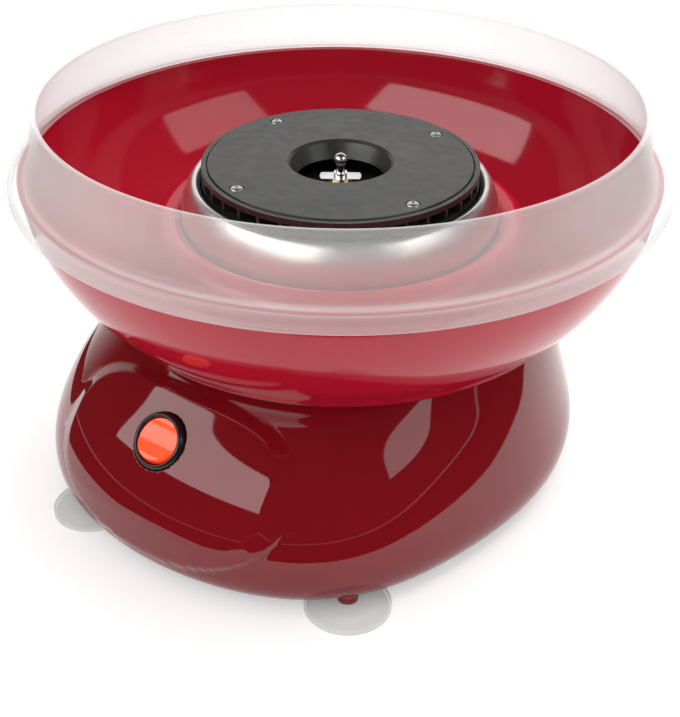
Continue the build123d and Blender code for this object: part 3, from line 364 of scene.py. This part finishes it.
def rounded(corners, radii, steps=5):
    """Closed outline through corners, each rounded with its own radius."""
    outline = []
    n = len(corners)
    for i in range(n):
        here = np.array(corners[i], float)
        before = np.array(corners[i - 1], float) - here
        after = np.array(corners[(i + 1) % n], float) - here
        radius = radii[i] if isinstance(radii, (list, tuple)) else radii
        reach = min(radius, 0.49 * np.linalg.norm(before), 0.49 * np.linalg.norm(after))
        if reach < 1e-4:
            outline.append(here)
            continue
        a = here + before / np.linalg.norm(before) * reach
        b = here + after / np.linalg.norm(after) * reach
        for k in range(steps + 1):
            t = k / steps
            outline.append((1 - t) ** 2 * a + 2 * t * (1 - t) * here + t * t * b)
    return outline


def polar(radius, angle, height=0.0):
    turn = math.radians(angle)
    return (radius * math.sin(turn), -radius * math.cos(turn), height)


# ---------------------------------------------------------------- base housing
LEVELS = [
    (5.0, 136.5, 108.3), (10.5, 140.8, 111.8), (21.0, 142.5, 113.3), (34.0, 140.2, 110.7),
    (47.0, 134.5, 107.1), (59.0, 125.9, 104.1), (71.0, 112.5, 101.7), (81.5, 100.0, 100.0),
]
NOSE_ANGLE, NOSE_SHARPNESS = 54.5, 5.0
DECK_Z, DECK_HOLE_R, BASE_WALL = 81.5, 30.0, 2.6
TILT = math.radians(38.0)
PANEL_OUT = np.array([0, -math.cos(TILT), math.sin(TILT)])
PANEL_UP = np.array([0, math.sin(TILT), math.cos(TILT)])
POD_MIDDLE = np.array([0, -128.0, 56.0])
POD_HALF_W, POD_HALF_H, POD_RAISE, POD_ROUNDNESS, POD_SINK = 45.0, 24.5, 3.0, 2.4, 14.0
POD_SLOPE = math.tan(math.radians(52.0))
SWITCH = np.array([0, -126.0, 62.5])
BEZEL_R = 12.4


def housing():
    """Egg-shaped shell: side, deck with its hole, and inner skin, with the raised oval panel."""
    angles = np.concatenate([np.arange(-27, 27, 0.3), np.arange(27, 333, 1.5)])
    levels = np.array(LEVELS)
    chord = np.hypot(np.diff(levels[:, 0]), np.diff(levels[:, 1:].mean(1)))
    knots = np.concatenate([[0], np.cumsum(chord)])
    steps = np.concatenate([
        np.linspace(0, knots[3], 22, endpoint=False), np.linspace(knots[3], knots[-1] * 0.985, 96),
    ])
    z = cubic(knots, levels[:, 0], steps)
    front = cubic(knots, levels[:, 1], steps)
    back = cubic(knots, levels[:, 2], steps)
    turned = (angles + 180) % 360 - 180
    share = 1 / (1 + (np.abs(turned) / NOSE_ANGLE) ** NOSE_SHARPNESS)
    radial = np.stack([np.sin(np.radians(turned)), -np.cos(np.radians(turned)), np.zeros(len(turned))], 1)
    radius = back[:, None] + (front - back)[:, None] * share[None, :]
    raised = np.zeros_like(radius)
    high = np.full_like(radius, POD_RAISE)

    def inside(lift):
        place = (radius + lift)[..., None] * radial[None] + np.array([0, 0, 1.0]) * z[:, None, None]
        away = place - POD_MIDDLE
        spread = -(away @ PANEL_OUT) * POD_SLOPE
        x = np.abs(away[..., 0]) / np.maximum(POD_HALF_W + spread, 1.0)
        y = np.abs(away @ PANEL_UP) / np.maximum(POD_HALF_H + spread, 1.0)
        near = np.abs(away @ PANEL_OUT) < POD_SINK
        return (x ** POD_ROUNDNESS + y ** POD_ROUNDNESS <= 1) & near & (np.abs(turned)[None] < 60)

    full = inside(high)
    some = inside(np.zeros_like(radius))
    low = np.zeros_like(radius)
    top = high.copy()
    for _ in range(14):
        middle = (low + top) / 2
        fits = inside(middle)
        low = np.where(fits, middle, low)
        top = np.where(fits, top, middle)
    raised = np.where(full, POD_RAISE, np.where(some, low, 0.0))
    columns = slice(2, 178)
    for _ in range(3):
        patch = raised.copy()
        patch[1:-1, columns] = (
            4 * raised[1:-1, columns] + raised[:-2, columns] + raised[2:, columns]
            + raised[1:-1, 1:177] + raised[1:-1, 3:179]
        ) / 8
        raised = patch
    outer = radius + raised
    rings = []

    def plain(height, front_r, back_r, inset):
        return (np.full(len(angles), height), back_r + (front_r - back_r) * share - inset)

    low_z, low_front, low_back = LEVELS[0]
    rings.append(plain(low_z + 0.9, low_front, low_back, BASE_WALL))
    rings.append(plain(low_z + 0.3, low_front, low_back, BASE_WALL - 0.1))
    rings.append(plain(low_z, low_front, low_back, BASE_WALL - 0.5))
    rings.append(plain(low_z, low_front, low_back, 1.2))
    rings.append(plain(low_z + 0.12, low_front, low_back, 0.5))
    for i in range(len(steps)):
        height = max(z[i], low_z + 0.35) if i == 0 else z[i]
        rings.append((np.full(len(angles), height), outer[i]))
    for drop, reach in ((0.6, 100.4), (0.15, 99.6), (0, 98.6), (0, 80), (0, 55), (0, 31), (0.3, 30)):
        rings.append(plain(DECK_Z - drop, reach, reach, 0))
    for drop, reach in ((2.3, 30), (2.6, 30.6), (2.6, 60), (2.6, 92), (5.0, 95.5)):
        rings.append(plain(DECK_Z - drop, reach, reach, 0))
    for height, front_r, back_r in reversed(LEVELS[:-1]):
        if height > low_z + 2:
            rings.append(plain(height, front_r, back_r, BASE_WALL))
    verts = []
    for heights, reach in rings:
        for k in range(len(angles)):
            verts.append((reach[k] * radial[k, 0], reach[k] * radial[k, 1], heights[k]))
    rows, n = len(rings), len(angles)
    faces = []
    for i in range(rows):
        j = (i + 1) % rows
        for k in range(n):
            m = (k + 1) % n
            faces.append((i * n + k, i * n + m, j * n + m, j * n + k))
    return verts, faces


def solid_rod(outline, place, turn=Matrix.Identity(4), segments=64):
    """Vertices and faces of a closed turned solid, in millimetres, put somewhere."""
    verts = []
    faces = []
    rows = len(outline)
    for k in range(segments):
        angle = 2 * math.pi * k / segments
        for r, z in outline:
            spot = turn @ Vector((r * math.cos(angle), r * math.sin(angle), z))
            verts.append((spot.x + place[0], spot.y + place[1], spot.z + place[2]))
    for k in range(segments):
        here, there = k * rows, ((k + 1) % segments) * rows
        for i in range(rows - 1):
            faces.append((here + i, there + i, there + i + 1, here + i + 1))
    return verts, faces


def cut(obj, cutter):
    """Cuts one closed mesh out of another for good."""
    tool = obj.modifiers.new("cut", "BOOLEAN")
    tool.operation = "DIFFERENCE"
    tool.solver = "EXACT"
    tool.object = cutter
    bpy.context.view_layer.update()
    graph = bpy.context.evaluated_depsgraph_get()
    result = bpy.data.meshes.new_from_object(obj.evaluated_get(graph))
    obj.modifiers.clear()
    old = obj.data
    obj.data = result
    bpy.data.meshes.remove(old)
    old = cutter.data
    bpy.data.objects.remove(cutter)
    bpy.data.meshes.remove(old)


def loose_mesh(name, verts, faces):
    mesh = bpy.data.meshes.new(name)
    mesh.from_pydata([tuple(c * MM for c in v) for v in verts], [], faces)
    obj = bpy.data.objects.new(name, mesh)
    bpy.context.scene.collection.objects.link(obj)
    work = bmesh.new()
    work.from_mesh(mesh)
    bmesh.ops.remove_doubles(work, verts=work.verts, dist=0.000001)
    bmesh.ops.recalc_face_normals(work, faces=work.faces)
    work.to_mesh(mesh)
    work.free()
    return obj


FRONT_FEET = [(131.0, -22.6), (131.0, 38.0)]
REAR_FEET = [(103.0, -132.0), (103.0, 148.6)]


def build_housing():
    verts, faces = housing()
    obj = add_mesh("housing_skin", verts, faces, "base_red", "base", ["base_housing"])
    turn = Matrix.Rotation(math.pi / 2 - TILT, 4, "X")
    bore = [(0, -40), (BEZEL_R + 0.2, -40), (BEZEL_R + 0.2, 30), (0, 30)]
    seat = SWITCH - PANEL_OUT
    cut(obj, loose_mesh("bore_tool", *solid_rod(bore, seat, turn, 96)))
    bosses = []
    for radius, angle in FRONT_FEET + REAR_FEET:
        outline = rounded([(0, 3.6), (4.6, 3.6), (4.6, 13), (0, 13)], [0, 0.5, 0, 0])
        bosses.append(solid_rod(outline, polar(radius, angle)))
    seat_turn = Matrix.Rotation(-math.pi / 2, 4, "X")
    outline = rounded([(5.5, -12), (9.1, -12), (9.1, 0), (5.5, 0)], [0, 0, 0.4, 0.2])
    bosses.append(solid_rod(outline + outline[:1], (0, 114.8, 28.0), seat_turn))
    all_verts = []
    all_faces = []
    for more_verts, more_faces in bosses:
        start = len(all_verts)
        all_verts += more_verts
        all_faces += [tuple(start + i for i in face) for face in more_faces]
    add_mesh("housing_bosses", all_verts, all_faces, "base_red", "base")
    return obj


build_housing()

# ---------------------------------------------------------------- bowl and guard
RIM_Z = 146.0
bowl_line = [(73.6, 116.8), (77.0, 118.6), (81.5, 117.2), (87.0, 109.0), (91.5, 98.0), (95.5, 88.5)]
bowl_line += [(99.0, 83.3), (102.5, 83.1), (105.8, 84.4), (109.6, 88.7), (118.6, 98.4), (129.1, 113.1), (136.0, 128.7)]
bowl_line.append((139.6, RIM_Z))
lathe("bowl_skin", sheet_outline(bowl_line, 2.4, 150), "bowl_red", "bowl", ["bowl"], 300)

guard_line = [(130.7, 174.5), (132.6, 162.5), (135.0, 150.5), (137.0, 147.8), (139.5, 147.3), (143.0, 146.4)]
guard_line += [(144.1, 143.9), (144.1, 141.2)]
lathe("guard_skin", sheet_outline(guard_line, 1.8, 160, 0.45), "guard_clear", "guard", ["splash_guard"], 300)

# ---------------------------------------------------------------- switch bezel and head screws
BEZEL_OUTLINE = [
    (9.95, -12.0), (12.2, -12.0), (12.2, 0.0), (12.3, 0.6), (12.0, 1.5), (11.5, 2.2), (11.0, 2.5),
    (10.6, 2.55), (10.2, 2.35), (10.0, 1.9),
]
SCREW_OUTLINE = [
    (0, 120.5), (1.5, 120.5), (1.5, 142.1), (2.9, 142.1), (3.0, 142.4), (2.85, 143.0), (2.2, 143.6),
    (1.2, 143.9), (0.75, 143.92), (0.6, 143.5), (0, 143.4),
]
HEAD_SCREW_R, HEAD_SCREW_ANGLE = 53.5, 70.5


def build_bezel():
    """Ring of the switch with a rounded edge, its axis square to the panel."""
    turn = Matrix.Rotation(math.pi / 2 - TILT, 4, "X")
    verts, faces = solid_rod(BEZEL_OUTLINE + BEZEL_OUTLINE[:1], SWITCH - PANEL_OUT, turn, 160)
    add_mesh("bezel_skin", verts, faces, "bezel_black", "base", ["switch_bezel"])


def build_head_screws():
    """Four domed screws in the head's disc."""
    verts, faces = [], []
    for step in range(4):
        place = polar(HEAD_SCREW_R, HEAD_SCREW_ANGLE + 90 * step)
        more_verts, more_faces = solid_rod(SCREW_OUTLINE, place, segments=48)
        start = len(verts)
        verts += more_verts
        faces += [tuple(start + i for i in face) for face in more_faces]
    add_mesh("head_screw_skin", verts, faces, "screw_steel", "head", ["head_screws"])


build_bezel()
build_head_screws()

# ---------------------------------------------------------------- floor, world, lamps


def make_floor():
    size = 6.0
    mesh = bpy.data.meshes.new("floor")
    mesh.from_pydata([(-size, -size, 0), (size, -size, 0), (size, size, 0), (-size, size, 0)], [], [(0, 1, 2, 3)])
    floor = bpy.data.objects.new("floor", mesh)
    bpy.context.scene.collection.objects.link(floor)
    mat = Shader("floor_white")
    mat.bsdf.inputs["Base Color"].default_value = (*FLOOR_WHITE, 1)
    mat.bsdf.inputs["Roughness"].default_value = 0.8
    mat.set(Specular_IOR_Level=0.0)
    path = mat.put("ShaderNodeLightPath")
    first = mat.put("ShaderNodeMath", operation="MAXIMUM")
    second = mat.put("ShaderNodeMath", operation="MAXIMUM")
    mat.join(path.outputs["Is Camera Ray"], first.inputs[0])
    mat.join(path.outputs["Is Glossy Ray"], first.inputs[1])
    mat.join(first.outputs["Value"], second.inputs[0])
    mat.join(path.outputs["Is Transmission Ray"], second.inputs[1])
    scaled = mat.put("ShaderNodeMath", operation="MULTIPLY")
    scaled.inputs[1].default_value = FLOOR_GLOW
    mat.join(second.outputs["Value"], scaled.inputs[0])
    mat.set(Emission_Color=(1, 1, 1, 1))
    mat.join(scaled.outputs["Value"], mat.bsdf.inputs["Emission Strength"])
    mesh.materials.append(mat.material)
    return floor


def make_world():
    """White for the camera; gloss and glass see a white backdrop behind and a dark room in front."""
    world = bpy.data.worlds.new("studio")
    bpy.context.scene.world = world
    world.use_nodes = True
    tree = world.node_tree
    tree.nodes.clear()
    put = tree.nodes.new
    link = tree.links.new

    def math_node(operation, first, second):
        node = put("ShaderNodeMath")
        node.operation = operation
        for socket, value in zip(node.inputs, (first, second)):
            if isinstance(value, (int, float)):
                socket.default_value = value
            else:
                link(value, socket)
        return node.outputs["Value"]

    coords = put("ShaderNodeTexCoord").outputs["Generated"]
    split = put("ShaderNodeSeparateXYZ")
    link(coords, split.inputs["Vector"])
    dot = put("ShaderNodeVectorMath")
    dot.operation = "DOT_PRODUCT"
    dot.inputs[1].default_value = BACKDROP_WAY
    link(coords, dot.inputs[0])
    behind = put("ShaderNodeMapRange")
    behind.interpolation_type = "SMOOTHSTEP"
    behind.inputs["From Min"].default_value = 0.5
    behind.inputs["From Max"].default_value = 0.78
    behind.inputs["To Min"].default_value = ROOM_DARK
    behind.inputs["To Max"].default_value = 1.0
    link(dot.outputs["Value"], behind.inputs["Value"])
    below = math_node("LESS_THAN", split.outputs["Z"], 0.0)
    path = put("ShaderNodeLightPath")
    camera_ray = path.outputs["Is Camera Ray"]
    white = math_node("MAXIMUM", behind.outputs["Result"], math_node("MAXIMUM", below, camera_ray))
    seen = put("ShaderNodeBackground")
    link(white, seen.inputs["Color"])
    lit = put("ShaderNodeBackground")
    lit.inputs["Color"].default_value = (1, 0.995, 0.985, 1)
    lit.inputs["Strength"].default_value = FILL
    glossy = math_node("MAXIMUM", path.outputs["Is Glossy Ray"], path.outputs["Is Transmission Ray"])
    mix = put("ShaderNodeMixShader")
    link(math_node("MAXIMUM", camera_ray, glossy), mix.inputs["Fac"])
    link(lit.outputs["Background"], mix.inputs[1])
    link(seen.outputs["Background"], mix.inputs[2])
    out = put("ShaderNodeOutputWorld")
    link(mix.outputs["Shader"], out.inputs["Surface"])


def softbox(name, azimuth, elevation, distance, size, radiance, gloss=True):
    """Area lamp that faces the machine: either a card that only gloss sees, or plain light that gloss doesn't."""
    lamp = bpy.data.lights.new(name, "AREA")
    lamp.shape = "RECTANGLE"
    lamp.size, lamp.size_y = size
    lamp.energy = radiance * math.pi * size[0] * size[1]
    obj = bpy.data.objects.new(name, lamp)
    bpy.context.scene.collection.objects.link(obj)
    turn, rise = math.radians(azimuth), math.radians(elevation)
    way = Vector((math.sin(turn) * math.cos(rise), -math.cos(turn) * math.cos(rise), math.sin(rise)))
    obj.location = way * distance + Vector((0, 0, 0.08))
    obj.rotation_euler = (-way).to_track_quat("-Z", "Y").to_euler()
    obj.visible_camera = False
    obj.visible_diffuse = not gloss
    obj.visible_glossy = gloss
    obj.visible_transmission = gloss
    return obj


def dark_floor():
    """Dark floor in front of the lit patch that the machine stands on: gloss alone sees it."""
    verts, faces = [], []
    toward = Vector((0.588, -0.809, 0))
    beside = Vector((0.809, 0.588, 0))
    for k in range(97):
        turn = math.radians(-130 + 260 * k / 96)
        patch = 1 / math.hypot(math.cos(turn) / LIT_FLOOR[0], math.sin(turn) / LIT_FLOOR[1])
        for radius in (patch, 4.0):
            place = (toward * math.cos(turn) + beside * math.sin(turn)) * radius
            verts.append((place.x, place.y, 0.0004))
    for k in range(96):
        faces.append((2 * k, 2 * k + 1, 2 * k + 3, 2 * k + 2))
    mesh = bpy.data.meshes.new("dark_floor")
    mesh.from_pydata(verts, [], faces)
    obj = bpy.data.objects.new("dark_floor", mesh)
    bpy.context.scene.collection.objects.link(obj)
    mat = Shader("dark_floor")
    mat.set(Base_Color=(0.03, 0.03, 0.03, 1), Roughness=0.9, Specular_IOR_Level=0.0)
    mesh.materials.append(mat.material)
    obj.visible_camera = False
    obj.visible_diffuse = False
    obj.visible_shadow = False
    obj.visible_transmission = False


BACKDROP_WAY = (-0.588, 0.809, 0.0)
ROOM_DARK = 0.05
FILL = 0.7
LIT_FLOOR = (0.236, 0.31)                       # half sizes of the lit patch: towards the camera, beside it
FLOOR_WHITE = (0.88, 0.88, 0.88)
FLOOR_GLOW = 0.39
make_floor()
dark_floor()
make_world()
softbox("key", -18.0, 33.0, 0.9, (1.15, 0.44), 3.4)
softbox("side", 98.0, 32.0, 0.9, (0.62, 0.4), 2.0)
softbox("top", 171.0, 66.0, 1.0, (1.0, 1.0), 2.6, gloss=False)
softbox("front", 10.0, 40.0, 1.2, (1.0, 0.8), 1.0, gloss=False)

# ---------------------------------------------------------------- camera
camera_data = bpy.data.cameras.new("camera")
camera = bpy.data.objects.new("camera", camera_data)
bpy.context.scene.collection.objects.link(camera)
TURN, PITCH, ROLL = math.radians(36.0), 0.5709, 0.0091
CAMERA_OUT, CAMERA_HEIGHT = 0.5234, 0.3746
FOCAL, PHOTO_HEIGHT = 1269.9, 717.0             # both in pixels of the photograph
camera.location = (CAMERA_OUT * math.sin(TURN), -CAMERA_OUT * math.cos(TURN), CAMERA_HEIGHT)
aim = Matrix.Rotation(TURN, 4, "Z") @ Matrix.Rotation(math.pi / 2 - PITCH, 4, "X") @ Matrix.Rotation(ROLL, 4, "Z")
camera.rotation_euler = aim.to_euler()
camera_data.sensor_width = 36.0
camera_data.lens = FOCAL * camera_data.sensor_width / PHOTO_HEIGHT
camera_data.shift_x = 1.14 / PHOTO_HEIGHT
camera_data.shift_y = -0.5 / PHOTO_HEIGHT
camera_data.clip_start = 0.01
bpy.context.scene.camera = camera
bpy.context.scene.view_settings.view_transform = "Standard"
